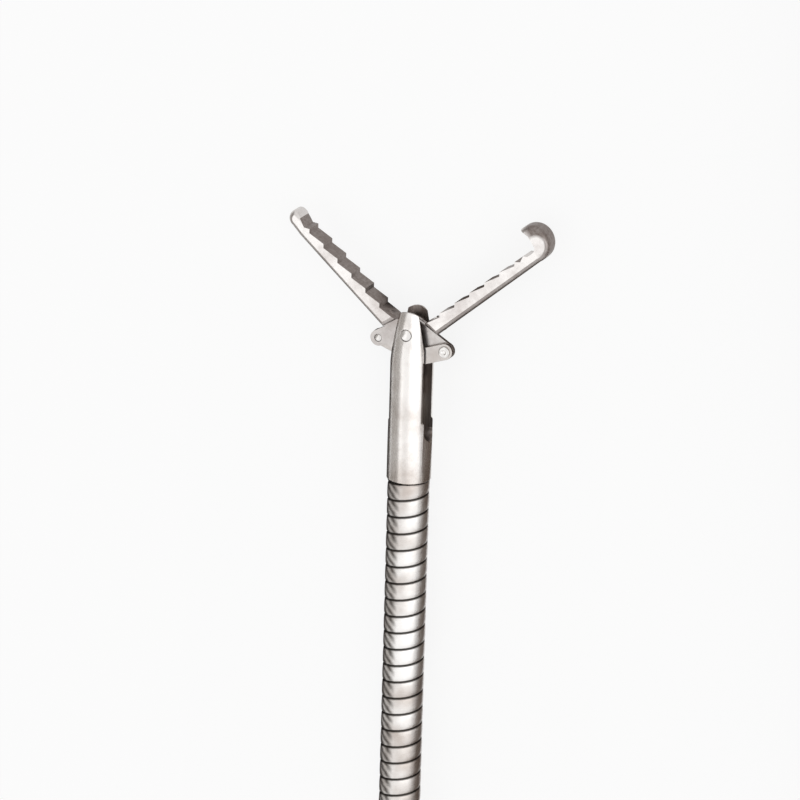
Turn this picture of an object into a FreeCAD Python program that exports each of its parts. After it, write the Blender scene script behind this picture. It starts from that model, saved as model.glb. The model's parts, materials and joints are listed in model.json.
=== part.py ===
"""Flexible grasping forceps: 7 Fr close-wound sheath, double-action hooked jaws, two-ring handle.

The row frame has its origin at the centre of the fixed finger ring, on the table that the instrument
lies on. The handle runs towards -Y, the sheath is put away in a coil beside it, and the jaws point to +Y.
The head is drawn about its jaw pivot, with X across the fork, Y towards the tips and Z through the fork.
"""
import FreeCAD, Part
import Sketcher
import math
import os
import re

doc = FreeCAD.newDocument("grasping_forceps")
sheet = doc.addObject("Spreadsheet::Sheet", "Sizes")

SIZES = {
    # sheath and coil
    "sheath_outer": 1.165,
    "sheath_bore": 0.62,
    "axis_height": 1.22,
    "coil_middle": 11.7,
    "coil_bundle": 2.4,
    "coil_below_pivot": 52.5,
    "coil_floor": 0.45,
    "coil_round": 0.8,
    "coil_lap": 1.0,
    "guard_gap": 0.1,
    "tie_wall": 0.4,
    "tie_width": 3.0,
    "tie_gap": 0.04,
    # head: place, fork
    "head_x": -28.0,
    "head_y": -45.0,
    "fork_outer": 1.22,
    "fork_flat": 0.95,
    "fork_nose": 0.8,
    "fork_length": 8.5,
    "fork_bore": 0.7,
    "fork_bevel": 0.1,
    "flat_length": 4.95,
    "flat_run": 1.5,
    "tip_reach": 1.25,
    "nose_start": 1.6,
    "slot_half": 0.6,
    "slot_depth": 6.15,
    "pivot_pin": 0.3,
    "pin_gap": 0.03,
    "fit_gap": 0.02,
    "pivot_half": 0.98,
    # double-action linkage
    "link_length": 2.2,
    "block_open": 1.505,
    "jaw_swing": 50.0,
    "lobe_radius": 0.45,
    "rivet_radius": 0.2,
    "rivet_head": 0.32,
    "rivet_proud": 0.1,
    "rivet_inset": 0.01,
    "tail_low": 0.02,
    "tail_thick": 0.22,
    "link_low": 0.26,
    "link_thick": 0.2,
    "block_pin": 0.24,
    "block_half": 0.42,
    "block_length": 1.7,
    "block_pin_proud": 0.08,
    "socket_length": 0.6,
    "socket_lap": 0.4,
    "socket_wall": 0.1,
    "wire_radius": 0.4,
    "wire_length": 9.0,
    # jaws
    "hub_radius": 0.85,
    "jaw_half": 0.58,
    "jaw_back": 0.8,
    "back_round": 0.28,
    "jaw_root": 1.3,
    "jaw_root_back": 0.95,
    "face_gap": 0.04,
    "tooth_first": 2.28,
    "tooth_last": 0.78,
    "tooth_height": 0.18,
    "valley_gap": 0.15,
    "left_reach": 9.2,
    "left_hook": 0.12,
    "tip_round": 0.6,
    "right_beyond": 1.05,
    "right_hook": 1.2,
    "hook_gap": 0.1,
    "hook_round": 0.97,
    "mouth_round": 0.32,
    "notch_gap": 0.08,
    # handle
    "handle_x": 14.5,
    "handle_axis": 2.5,
    "handle_thick": 5.0,
    "ring_bore": 11.0,
    "ring_outer": 13.6,
    "ring_thick": 5.0,
    "ring_pitch": 29.0,
    "neck_half": 3.4,
    "shoulder_half": 5.6,
    "shoulder_rise": 4.0,
    "block_rise": 4.5,
    "web_rise": 8.6,
    "arm_foot": 7.2,
    "arm_rise": 10.5,
    "arm_waist": -42.0,
    "arm_half": 3.1,
    "arm_lean": 1.5,
    "ring_lap": 1.0,
    "lever_arm": 9.0,
    "lever_y": -68.0,
    "hub_outer": 2.6,
    "hub_wall": 2.2,
    "eye_outer": 2.0,
    "thumb_arm_half": 2.4,
    "blade_thick": 1.6,
    "side_gap": 0.1,
    "running_gap": 0.05,
    "screw_radius": 1.2,
    "screw_head": 2.0,
    "screw_cap": 0.8,
    "screw_slot": 0.25,
    "rod_radius": 0.9,
    "rod_gap": 0.29,
    "rod_pin": 0.6,
    "rod_pin_proud": 0.12,
    "pin_play": 0.12,
    "rod_fork_half": 1.5,
    "rod_fork_tip": 1.4,
    "rod_fork_gap": 2.65,
    "rod_fork_end": 3.4,
    "cheek_thick": 0.55,
    "cheek_room": 0.3,
    "wire_lap": 6.0,
    "wire_end": 24.0,
    "neck_outer": 2.5,
    "neck_start": -79.0,
    "neck_end": -84.0,
    "spigot_outer": 2.0,
    "spigot_length": 2.0,
    "nut_length": 4.2,
    "nut_bevel": 0.3,
    "ferrule_outer": 1.6,
    "ferrule_lap": 0.9,
    "guard_length": 9.5,
    "guard_tip": 1.62,
}

for row, (alias, size) in enumerate(SIZES.items(), start=1):
    sheet.set(f"A{row}", alias)
    sheet.set(f"B{row}", repr(size))
    sheet.setAlias(f"B{row}", alias)
doc.recompute()

WORD = re.compile(r"\b(" + "|".join(sorted(SIZES, key=len, reverse=True)) + r")\b")


def bound(expression):
    """The expression with each size's name pointing at the sheet."""
    return WORD.sub(r"Sizes.\1", str(expression))


def value(expression):
    """The expression's number in millimetres or degrees."""
    result = sheet.evalExpression(bound(expression))
    return float(getattr(result, "Value", result))


def tie(thing, **properties):
    """Bind properties of an object to expressions over the sheet."""
    for name, expression in properties.items():
        thing.setExpression(name.replace("__", "."), bound(expression))


# Motion, worked out from the sizes: the block's travel on its wire sets how far the lever turns.
TAIL_OPEN = "(acos(block_open / (2 * link_length)) / 1deg)"
TAIL_CLOSED = f"({TAIL_OPEN} - jaw_swing)"
TRAVEL = f"(2 * link_length * cos({TAIL_CLOSED} * 1deg) - block_open)"
LEVER_HALF = f"(asin({TRAVEL} / (2 * lever_arm)) / 1deg)"
LEVER_X = f"(handle_x - lever_arm * (1 + cos({LEVER_HALF} * 1deg)) / 2)"
ROD_PIN_Y = f"(lever_y - {TRAVEL} / 2)"
ROD_LENGTH = f"({ROD_PIN_Y} - neck_end - ferrule_lap - rod_gap)"
COIL_X = "(head_x + coil_middle + coil_bundle + sheath_outer + side_gap)"
COIL_Y = "(head_y - coil_below_pivot)"


def place(thing, across="0", along="0", height="0", turn=None):
    """Put an object in the row frame and, where asked, turn it about the vertical."""
    angle = 1.0 if turn is not None else 0.0
    thing.Placement = FreeCAD.Placement(
        FreeCAD.Vector(value(across), value(along), value(height)),
        FreeCAD.Rotation(FreeCAD.Vector(0, 0, 1), angle),
    )
    tie(thing, Placement__Base__x=across, Placement__Base__y=along, Placement__Base__z=height)
    if turn is not None:
        tie(thing, Placement__Rotation__Angle=turn)


def at_head(thing, turn=None):
    """Put an object drawn about the jaw pivot in its place."""
    place(thing, "head_x", "head_y", "axis_height", turn)


def body(label):
    """A new body that stands for one sub-part."""
    made = doc.addObject("PartDesign::Body", label)
    made.Label = label
    return made


def plane(owner, role):
    """The body's own origin plane with this role."""
    return next(part for part in owner.Origin.OriginFeatures if part.Role == role)


def sketch(owner, name, role="XY_Plane", height="0"):
    """An empty sketch on one of the body's origin planes, moved along the plane's normal."""
    made = owner.newObject("Sketcher::SketchObject", f"{owner.Name}_{name}")
    made.AttachmentSupport = [(plane(owner, role), "")]
    made.MapMode = "FlatFace"
    made.AttachmentOffset = FreeCAD.Placement(FreeCAD.Vector(0, 0, value(height)), FreeCAD.Rotation())
    tie(made, AttachmentOffset__Base__z=height)
    return made


def corner(drawing, index, end, across, along):
    """Hold a point of the sketch at two distances from its origin."""
    for kind, expression in (("DistanceX", across), ("DistanceY", along)):
        number = drawing.addConstraint(Sketcher.Constraint(kind, index, end, value(expression)))
        drawing.setExpression(f"Constraints[{number}]", bound(expression))


def outline(drawing, corners):
    """A closed outline. A corner is (across, along), and a third entry bulges the run that follows it:
    an arc's radius, positive for a left turn."""
    points = [FreeCAD.Vector(value(item[0]), value(item[1]), 0) for item in corners]
    first = drawing.GeometryCount
    for number, item in enumerate(corners):
        start, end = points[number], points[(number + 1) % len(points)]
        if len(item) == 2:
            drawing.addGeometry(Part.LineSegment(start, end), False)
            continue
        radius = value(item[2])
        run = end - start
        half = run.Length / 2
        rise = math.sqrt(max(radius * radius - half * half, 0.0))
        left = FreeCAD.Vector(-run.y, run.x, 0).normalize()
        centre = (start + end) * 0.5 + left * (rise if radius > 0 else -rise)
        low, high = (start, end) if radius > 0 else (end, start)
        circle = Part.Circle(centre, FreeCAD.Vector(0, 0, 1), abs(radius))
        drawing.addGeometry(Part.ArcOfCircle(circle, circle.parameter(low), circle.parameter(high)), False)
    for number, item in enumerate(corners):
        geometry = first + number
        following = first + (number + 1) % len(corners)
        turned = len(item) > 2 and value(item[2]) < 0
        next_item = corners[(number + 1) % len(corners)]
        next_turned = len(next_item) > 2 and value(next_item[2]) < 0
        ends = 1 if turned else 2
        starts = 2 if next_turned else 1
        drawing.addConstraint(Sketcher.Constraint("Coincident", geometry, ends, following, starts))
        corner(drawing, geometry, 2 if turned else 1, item[0], item[1])
        if len(item) > 2:
            radius = item[2] if value(item[2]) > 0 else f"-({item[2]})"
            run = (points[(number + 1) % len(points)] - points[number]).Length
            if run > 1.999 * value(radius):
                # a half circle is held by its centre, midway between its ends
                drawing.addConstraint(Sketcher.Constraint("Symmetric", geometry, 1, geometry, 2, geometry, 3))
                continue
            bend = drawing.addConstraint(Sketcher.Constraint("Radius", geometry, value(radius)))
            drawing.setExpression(f"Constraints[{bend}]", bound(radius))


def circle(drawing, across, along, radius):
    """A full circle held by its centre and radius."""
    centre = FreeCAD.Vector(value(across), value(along), 0)
    index = drawing.addGeometry(Part.Circle(centre, FreeCAD.Vector(0, 0, 1), value(radius)), False)
    corner(drawing, index, 3, across, along)
    number = drawing.addConstraint(Sketcher.Constraint("Radius", index, value(radius)))
    drawing.setExpression(f"Constraints[{number}]", bound(radius))


def feature(owner, kind, name, profile, **sizes):
    """A sketch-based feature with its sizes bound."""
    made = owner.newObject(f"PartDesign::{kind}", f"{owner.Name}_{name}")
    made.Profile = profile
    for size, expression in sizes.items():
        setattr(made, size, value(expression))
        tie(made, **{size: expression})
    return made


def turned(owner, name, corners, kind="Revolution"):
    """A profile of (radius, along) corners turned about the body's Y axis."""
    drawing = sketch(owner, f"{name}_profile")
    outline(drawing, corners)
    made = owner.newObject(f"PartDesign::{kind}", f"{owner.Name}_{name}")
    made.Profile = drawing
    made.ReferenceAxis = (drawing, ["V_Axis"])
    made.Angle = 360.0
    return made


def box(low_x, high_x, low_y, high_y):
    """The four corners of a rectangle."""
    return [(low_x, low_y), (high_x, low_y), (high_x, high_y), (low_x, high_y)]


def cylinder(label, radius, low, long, across="0", along="0"):
    """A plain upright pin as a part primitive, with its lower end at the height low."""
    made = doc.addObject("Part::Cylinder", label)
    made.Label = label
    tie(made, Radius=radius, Height=long)
    made.Placement.Base = FreeCAD.Vector(value(across), value(along), value(low))
    tie(made, Placement__Base__x=across, Placement__Base__y=along, Placement__Base__z=low)
    return made


def checked_cut(owner, name, drawing, depth):
    """A pocket along the sketch's normal, checked to take material away."""
    before = owner.Shape.Volume
    made = feature(owner, "Pocket", name, drawing, Length=depth)
    made.Reversed = True
    doc.recompute()
    if owner.Shape.Volume > before - 1e-6:
        raise RuntimeError(f"{owner.Label}: {name} cut nothing")


def make_fork():
    """The slotted tube that carries the jaws: turned, flatted at its sides, then slotted through."""
    fork = body("fork")
    turned(fork, "tube", [
        ("fork_bore", "-fork_length"),
        ("fork_outer - fork_bevel", "-fork_length"),
        ("fork_outer", "-fork_length + fork_bevel"),
        ("fork_outer", "-nose_start"),
        ("fork_nose", "tip_reach"),
        ("fork_bore", "tip_reach"),
    ])
    doc.recompute()
    sides = sketch(fork, "sides_outline", height="-2 * fork_outer")
    outline(sides, [
        ("-fork_flat", "-flat_length"),
        ("-fork_flat", "tip_reach - fork_flat", "-fork_flat"),
        ("fork_flat", "tip_reach - fork_flat"),
        ("fork_flat", "-flat_length"),
        ("2 * fork_outer", "-flat_length - flat_run"),
        ("2 * fork_outer", "2 * tip_reach"),
        ("-2 * fork_outer", "2 * tip_reach"),
        ("-2 * fork_outer", "-flat_length - flat_run"),
    ])
    checked_cut(fork, "sides", sides, "4 * fork_outer")
    slot = sketch(fork, "slot_outline", "YZ_Plane", "-2 * fork_outer")
    outline(slot, [
        ("2 * tip_reach", "-slot_half"),
        ("2 * tip_reach", "slot_half"),
        ("-slot_depth + slot_half", "slot_half", "slot_half"),
        ("-slot_depth + slot_half", "-slot_half"),
    ])
    checked_cut(fork, "slot", slot, "4 * fork_outer")
    hole = sketch(fork, "hole_outline", height="-2 * fork_outer")
    circle(hole, "0", "0", "pivot_pin + pin_gap")
    checked_cut(fork, "pin_hole", hole, "4 * fork_outer")
    at_head(fork)


def mirrored(side, corners):
    """The corners of a jaw's drawing, given as (inward, along), on its own side of the fork."""
    if side == "left":
        return corners
    return [tuple([f"-({item[0]})", item[1]] + [f"-({bend})" for bend in item[2:]]) for item in corners]


TEETH = 6


LAST_TOOTH = "(left_reach - tip_round - tooth_last)"
TOOTH_PITCH = f"(({LAST_TOOTH} - tooth_first) / {TEETH - 1})"
RIGHT_REACH = "(left_reach + right_beyond)"


def toothed_face():
    """The corners of a jaw's gripping face, from its root to its last tooth."""
    corners = []
    for number in range(TEETH):
        crest = f"tooth_first + {number} * {TOOTH_PITCH}"
        corners.append(("-face_gap - tooth_height", f"{crest} - valley_gap"))
        corners.append(("-face_gap", crest))
    return corners


def left_tip():
    """The blunt tip of the left jaw, with its short hook, from its last tooth round to its back."""
    return [
        ("-face_gap - tooth_height", f"{LAST_TOOTH} + {TOOTH_PITCH} / 4"),
        ("-face_gap", "left_reach - tip_round"),
        ("left_hook", "left_reach - 0.7 * tip_round"),
        ("left_hook", "left_reach - tip_round / 2", "tip_round / 2"),
        ("left_hook - tip_round / 2", "left_reach"),
        ("-0.4 * tip_round", "left_reach", "0.81 * tip_round"),
        ("-1.2 * tip_round", "left_reach - 0.9 * tip_round"),
        ("-jaw_back", "left_reach - 2 * tip_round"),
    ]


def right_tip():
    """The long hook of the right jaw, hollowed at its foot, which closes over the end of the left one."""
    # the crown's arc keeps its bulge when its ends move
    crown = "(0.648807 * sqrt((jaw_back + 0.4 * tip_round)^2 + (2.1 * tip_round)^2))"
    return [
        ("-face_gap - tooth_height", f"{LAST_TOOTH} + {TOOTH_PITCH} / 4"),
        ("-face_gap", "left_reach - tip_round - 2 * notch_gap"),
        ("-left_hook - notch_gap", "left_reach - 0.7 * tip_round - 2 * notch_gap"),
        ("-left_hook - notch_gap", "left_reach - tip_round / 2 + notch_gap", "-mouth_round"),
        ("mouth_round - left_hook - notch_gap", "left_reach - tip_round / 2 + notch_gap + mouth_round"),
        ("1.1 * tip_round", "left_reach + 1.5 * hook_gap"),
        ("right_hook", "left_reach - hook_gap / 2", "hook_round"),
        ("0.4 * tip_round", RIGHT_REACH, crown),
        ("-jaw_back", f"{RIGHT_REACH} - 2.1 * tip_round"),
    ]


def jaw_profile(tip):
    """A whole jaw seen from the side: root, toothed face, hook and back."""
    root = [("-jaw_root_back", "jaw_root"), ("-face_gap", "0.8 * jaw_root")]
    return root + toothed_face() + tip


def back_edges(pad, side):
    """The names of the long edges of a jaw's back, on both of its faces."""
    names = []
    for number, edge in enumerate(pad.Shape.Edges, 1):
        middle = edge.valueAt((edge.FirstParameter + edge.LastParameter) / 2)
        inward = middle.x if side == "left" else -middle.x
        across = abs(edge.Vertexes[0].Z - edge.Vertexes[-1].Z) > value("jaw_half")
        if not across and (inward < -value("jaw_back / 2") or middle.y > value("left_reach + tip_round / 2")):
            names.append(f"Edge{number}")
    return names


def make_jaw(side):
    """A toothed jaw with its hook, its hub in the fork's slot and the tail that its link pulls."""
    jaw = body(f"jaw_{side}")
    low = "tail_low" if side == "left" else "-tail_low - tail_thick"
    tip = left_tip() if side == "left" else right_tip()
    blade = sketch(jaw, "blade_outline", height="-jaw_half")
    outline(blade, mirrored(side, jaw_profile(tip)))
    pad = feature(jaw, "Pad", "blade", blade, Length="2 * jaw_half")
    doc.recompute()
    rounded = jaw.newObject("PartDesign::Fillet", f"{jaw.Name}_back")
    rounded.Base = (pad, back_edges(pad, side))
    rounded.Radius = value("back_round")
    tie(rounded, Radius="back_round")
    rivet = rivet_place()
    across_tail = f"cos({TAIL_CLOSED} * 1deg)"
    along_tail = f"sin({TAIL_CLOSED} * 1deg)"
    tail = sketch(jaw, "tail_outline", height=low)
    outline(tail, mirrored(side, [
        ("-jaw_root_back", "1.3 * jaw_root"),
        ("-hub_radius", "0"),
        (f"{rivet[0]} - lobe_radius * {across_tail}", f"{rivet[1]} - lobe_radius * {along_tail}"),
        (f"{rivet[0]} + lobe_radius * {across_tail}", f"{rivet[1]} + lobe_radius * {along_tail}"),
        (f"hub_radius * {across_tail}", f"hub_radius * {along_tail}"),
        ("0.3 * hub_radius", "0.95 * hub_radius"),
        ("-2 * face_gap", "hub_radius + face_gap"),
        ("-2 * face_gap", "1.3 * jaw_root"),
    ]))
    feature(jaw, "Pad", "tail", tail, Length="tail_thick")
    for name, centre, radius in (("hub", ("0", "0"), "hub_radius"), ("lobe", rivet, "lobe_radius")):
        disc = sketch(jaw, f"{name}_outline", height=low)
        across = centre[0] if side == "left" else f"-({centre[0]})"
        circle(disc, across, centre[1], radius)
        feature(jaw, "Pad", name, disc, Length="tail_thick")
    doc.recompute()
    for name, centre, radius in (("pin_hole", ("0", "0"), "pivot_pin + pin_gap"),
                                 ("rivet_hole", rivet, "rivet_radius + fit_gap")):
        hole = sketch(jaw, f"{name}_outline", height="-2 * jaw_half")
        across = centre[0] if side == "left" else f"-({centre[0]})"
        circle(hole, across, centre[1], radius)
        checked_cut(jaw, name, hole, "4 * jaw_half")
    at_head(jaw, "jaw_swing" if side == "left" else "-jaw_swing")


def rivet_place():
    """Where a jaw's tail holds its rivet while the jaws are closed, as (inward, along)."""
    return (f"link_length * sin({TAIL_CLOSED} * 1deg)", f"-link_length * cos({TAIL_CLOSED} * 1deg)")


def make_pivot_pin():
    """The hinge pin of both jaws, flush with the fork's tapered cheeks."""
    cylinder("jaw_pivot_pin", "pivot_pin", "axis_height - pivot_half", "2 * pivot_half", "head_x", "head_y")


def make_linkage():
    """Both links, the rivets at the jaws' tails, the block on the cable and its pin."""
    for side in ("left", "right"):
        sign = "" if side == "left" else "-"
        low = "link_low" if side == "left" else "-link_low - link_thick"
        link = body(f"link_{side}")
        # drawn along +Y from the block's pin and then turned to the open angle
        plate = sketch(link, "plate_outline", height=low)
        outline(plate, [
            ("-lobe_radius", "0", "lobe_radius"),
            ("lobe_radius", "0"),
            ("lobe_radius", "link_length", "lobe_radius"),
            ("-lobe_radius", "link_length"),
        ])
        feature(link, "Pad", "plate", plate, Length="link_thick")
        doc.recompute()
        for name, along, radius in (("pin_hole", "0", "block_pin + pin_gap"),
                                    ("rivet_hole", "link_length", "rivet_radius + pin_gap")):
            hole = sketch(link, f"{name}_outline", height="-2 * jaw_half")
            circle(hole, "0", along, radius)
            checked_cut(link, name, hole, "4 * jaw_half")
        turn = f"-{TAIL_OPEN}" if side == "left" else TAIL_OPEN
        place(link, "head_x", "head_y - block_open", "axis_height", turn)
        rivet = body(f"rivet_{side}")
        away = "+" if side == "left" else "-"
        across = f"head_x {away} link_length * sin({TAIL_OPEN} * 1deg)"
        along = "head_y - block_open / 2"
        shank = sketch(rivet, "shank_outline", height="tail_low + rivet_inset")
        circle(shank, "0", "0", "rivet_radius")
        feature(rivet, "Pad", "shank", shank, Length="link_low + link_thick - tail_low")
        head = sketch(rivet, "head_outline", height="link_low + link_thick + rivet_inset")
        circle(head, "0", "0", "rivet_head")
        feature(rivet, "Pad", "head", head, Length="rivet_proud")
        doc.recompute()
        dimple = sketch(rivet, "dimple_outline", height="link_low + link_thick + rivet_proud / 2")
        circle(dimple, "0", "0", "rivet_head / 3")
        checked_cut(rivet, "dimple", dimple, "rivet_proud")
        place(rivet, across, along, "axis_height")
        if side == "right":
            rivet.Placement = FreeCAD.Placement(
                rivet.Placement.Base, FreeCAD.Rotation(FreeCAD.Vector(0, 1, 0), 180))
    block = body("pull_block")
    tongue = sketch(block, "tongue_outline", height="-tail_thick")
    outline(tongue, [
        ("-block_half", "-block_length"),
        ("block_half", "-block_length"),
        ("block_half", "0", "block_half"),
        ("-block_half", "0"),
    ])
    feature(block, "Pad", "tongue", tongue, Length="2 * tail_thick")
    turned(block, "shank", [
        ("0", "-block_length - socket_length"),
        ("block_half + socket_wall", "-block_length - socket_length"),
        ("block_half + socket_wall", "-block_length + socket_lap"),
        ("0", "-block_length + socket_lap"),
    ])
    doc.recompute()
    hole = sketch(block, "hole_outline", height="-2 * jaw_half")
    circle(hole, "0", "0", "block_pin + fit_gap")
    checked_cut(block, "hole", hole, "4 * jaw_half")
    place(block, "head_x", "head_y - block_open", "axis_height")
    cylinder("block_pin", "block_pin", "axis_height - link_low - link_thick - block_pin_proud",
             "2 * (link_low + link_thick + block_pin_proud)", "head_x", "head_y - block_open")
    wire = body("pull_wire_tip")
    turned(wire, "wire", [
        ("0", "-wire_length"), ("wire_radius", "-wire_length"), ("wire_radius", "0"), ("0", "0"),
    ])
    place(wire, "head_x", "head_y - block_open - block_length - socket_length", "axis_height")


def swept_tube(label, points, outer, inner):
    """A tube along straight runs joined by tangent arcs; each arc takes 0.45 of its shorter run."""
    corners = [FreeCAD.Vector(*point) for point in points]
    edges = []
    begin = corners[0]
    length = 0.0
    for before, at, after in zip(corners, corners[1:], corners[2:]):
        come = at - before
        go = after - at
        take = 0.45 * min(come.Length, go.Length)
        half_turn = come.getAngle(go) / 2
        radius = take / math.tan(half_turn)
        start = at - come.normalize() * take
        end = at + go.normalize() * take
        inwards = (start + end) * 0.5 - at
        middle = at + inwards.normalize() * (radius / math.cos(half_turn) - radius)
        edges.append(Part.LineSegment(begin, start).toShape())
        edges.append(Part.Arc(start, middle, end).toShape())
        length += begin.distanceToPoint(start) + 2 * half_turn * radius
        print(f"{label}: bend radius {radius:.2f} mm")
        begin = end
    edges.append(Part.LineSegment(begin, corners[-1]).toShape())
    length += begin.distanceToPoint(corners[-1])
    path = Part.Wire(edges)
    way = corners[1] - corners[0]
    solids = []
    for radius in (outer, inner):
        ring = Part.Wire(Part.Circle(corners[0], way, radius).toShape())
        solids.append(path.makePipeShell([ring], True, False))
    tube = solids[0].cut(solids[1])
    expected = math.pi * (outer ** 2 - inner ** 2) * length
    print(f"{label}: length {length:.1f} mm, volume ratio {tube.Volume / expected:.4f}")
    if abs(tube.Volume / expected - 1) > 0.01:
        raise RuntimeError(f"{label}: the tube's volume isn't its section times its length")
    made = doc.addObject("Part::Feature", label)
    made.Label = label
    made.Shape = tube
    return made


def make_sheath():
    """The sheath: straight behind the fork, wound in a coil, and up to the handle."""
    head_x = value("head_x")
    low = value("axis_height")
    high = value("handle_axis")
    outer = value("sheath_outer")
    inner = value("sheath_bore")
    coil_x = value(COIL_X)
    coil_y = value(COIL_Y)
    around = coil_x - head_x
    side = around * math.tan(math.pi / 8)
    inside = value("coil_middle")
    entry = math.radians(60)
    swept_tube("sheath_distal", [
        (head_x, value("head_y - fork_length"), low),
        (head_x, coil_y - side, low),
        (coil_x - side, coil_y - around, low),
        (coil_x + side / 2, coil_y - around, low),
        (coil_x + inside * math.cos(entry), coil_y - inside * math.sin(entry), low),
    ], outer, inner)
    handle_x = value("handle_x")
    south = coil_y - inside
    # the bend starts where the guard ends
    straight = value("neck_end - nut_length - guard_length - guard_gap") - south
    bend = straight / (1 + 0.45 * math.sqrt(2))
    meets = value("sqrt((coil_middle + coil_bundle)^2 - coil_middle^2) - coil_lap")
    swept_tube("sheath_proximal", [
        (handle_x, value("neck_end - spigot_length"), high),
        (handle_x, south + bend, high),
        (handle_x - bend, south, high),
        (coil_x + meets, south, high),
    ], outer, inner)
    coil = body("sheath_coil")
    turned_ring(coil)
    place(coil, COIL_X, COIL_Y, "0")
    tie_band = body("coil_tie")
    make_tie(tie_band)
    place(tie_band, f"{COIL_X} + coil_middle", COIL_Y, "0")


def turned_ring(coil):
    """The outer shape of the wound turns, turned about the vertical."""
    section = sketch(coil, "section", "XZ_Plane")
    inner = "coil_middle - coil_bundle"
    outer = "coil_middle + coil_bundle"
    top = "(coil_floor + 4 * sheath_outer)"
    outline(section, [
        (f"{inner} + coil_round", "coil_floor"),
        (f"{outer} - coil_round", "coil_floor"),
        (outer, "coil_floor + coil_round"),
        (outer, f"{top} - coil_round"),
        (f"{outer} - coil_round", top),
        (f"{inner} + coil_round", top),
        (inner, f"{top} - coil_round"),
        (inner, "coil_floor + coil_round"),
    ])
    made = coil.newObject("PartDesign::Revolution", "sheath_coil_ring")
    made.Profile = section
    made.ReferenceAxis = (section, ["V_Axis"])
    made.Angle = 360.0


def make_tie(band):
    """A soft strap closed round the bundle of turns, at the side away from the head."""
    top = "coil_floor + 4 * sheath_outer"
    sag = "(coil_middle - sqrt(coil_middle^2 - (tie_width / 2)^2))"
    left = f"-coil_bundle - {sag} - tie_gap"
    strap = sketch(band, "strap_outline", "XZ_Plane", "-tie_width / 2")
    outline(strap, box(f"{left} - tie_wall", "coil_bundle + tie_gap + tie_wall",
                       "coil_floor - tie_gap - tie_wall + fit_gap", f"{top} + tie_gap + tie_wall"))
    feature(band, "Pad", "strap", strap, Length="tie_width")
    doc.recompute()
    hollow = sketch(band, "hollow_outline", "XZ_Plane", "-tie_width")
    outline(hollow, box(left, "coil_bundle + tie_gap", "coil_floor - tie_gap", f"{top} + tie_gap"))
    checked_cut(band, "hollow", hollow, "2 * tie_width")


def make_handle():
    """The fixed half of the handle: finger ring, arm, slotted block and neck."""
    handle = body("handle_body")
    frame = sketch(handle, "frame_outline")
    outline(frame, [
        ("handle_x - neck_half", "neck_start"),
        ("handle_x + neck_half", "neck_start"),
        ("handle_x + shoulder_half", "neck_start + shoulder_rise"),
        ("handle_x + shoulder_half", "lever_y + block_rise"),
        ("handle_x + ring_lap", "lever_y + web_rise"),
        ("handle_x - arm_foot", "lever_y + arm_rise"),
        ("arm_lean + arm_half", "arm_waist"),
        ("2.6 * ring_lap", "-ring_outer + ring_lap"),
        ("-2.6 * ring_lap", "-ring_outer + ring_lap"),
        ("arm_lean - arm_half", "arm_waist"),
        (f"{LEVER_X} - hub_outer - 0.9 * hub_wall", "lever_y + 1.5 * shoulder_rise"),
        (f"{LEVER_X} - hub_outer - 1.1 * hub_wall", "lever_y - shoulder_rise"),
        (f"{LEVER_X} - hub_wall", "lever_y - 2 * shoulder_rise"),
    ])
    feature(handle, "Pad", "frame", frame, Length="handle_thick")
    ring = sketch(handle, "ring_outline", height="(handle_thick - ring_thick) / 2")
    circle(ring, "0", "0", "ring_outer")
    feature(handle, "Pad", "ring", ring, Length="ring_thick")
    neck = sketch(handle, "neck_outline", "XZ_Plane", "-neck_start - ring_lap")
    circle(neck, "handle_x", "handle_axis", "neck_outer")
    feature(handle, "Pad", "neck", neck, Length="neck_start - neck_end + ring_lap")
    spigot = sketch(handle, "spigot_outline", "XZ_Plane", "-neck_end - ring_lap / 2")
    circle(spigot, "handle_x", "handle_axis", "spigot_outer")
    feature(handle, "Pad", "spigot", spigot, Length="spigot_length + ring_lap / 2")
    doc.recompute()
    bore = sketch(handle, "ring_bore_outline", height="-handle_thick")
    circle(bore, "0", "0", "ring_bore")
    checked_cut(handle, "ring_bore", bore, "3 * handle_thick")
    slot = sketch(handle, "slot_outline", height="handle_axis - blade_thick / 2 - side_gap")
    outline(slot, [
        (f"{LEVER_X} - hub_outer - cheek_room", "lever_y - 1.05 * shoulder_rise"),
        ("handle_x + 2 * shoulder_half", "lever_y - 1.05 * shoulder_rise"),
        ("handle_x + 2 * shoulder_half", "lever_y + 3 * shoulder_rise"),
        (f"{LEVER_X} - 2 * cheek_room", "lever_y + 3 * shoulder_rise"),
        (f"{LEVER_X} - hub_outer - cheek_room", "lever_y + ring_lap"),
    ])
    checked_cut(handle, "slot", slot, "blade_thick + 2 * side_gap")
    room = sketch(handle, "room_outline", height="handle_axis - blade_thick / 2 - cheek_thick - cheek_room")
    outline(room, box("handle_x - rod_fork_half - running_gap - side_gap",
                      "handle_x + rod_fork_half + running_gap + side_gap",
                      f"{ROD_PIN_Y} - rod_fork_end - 2 * rod_fork_half + side_gap",
                      f"lever_y + {TRAVEL} / 2 + rod_fork_tip + shoulder_rise / 2"))
    checked_cut(handle, "fork_room", room, "blade_thick + 2 * (cheek_thick + cheek_room)")
    for name, low, radius in (("rod_bore", "-lever_y + shoulder_rise", "rod_radius + running_gap"),
                              ("ferrule_bore", "-neck_end - ferrule_lap - fork_bevel",
                               "ferrule_outer + running_gap")):
        hole = sketch(handle, f"{name}_outline", "XZ_Plane", low)
        circle(hole, "handle_x", "handle_axis", radius)
        checked_cut(handle, name, hole, "neck_start - neck_end + 4 * shoulder_rise")
    screw = sketch(handle, "screw_outline", height="-handle_thick")
    circle(screw, LEVER_X, "lever_y", "screw_radius + fit_gap")
    checked_cut(handle, "screw_hole", screw, "3 * handle_thick")


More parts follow.
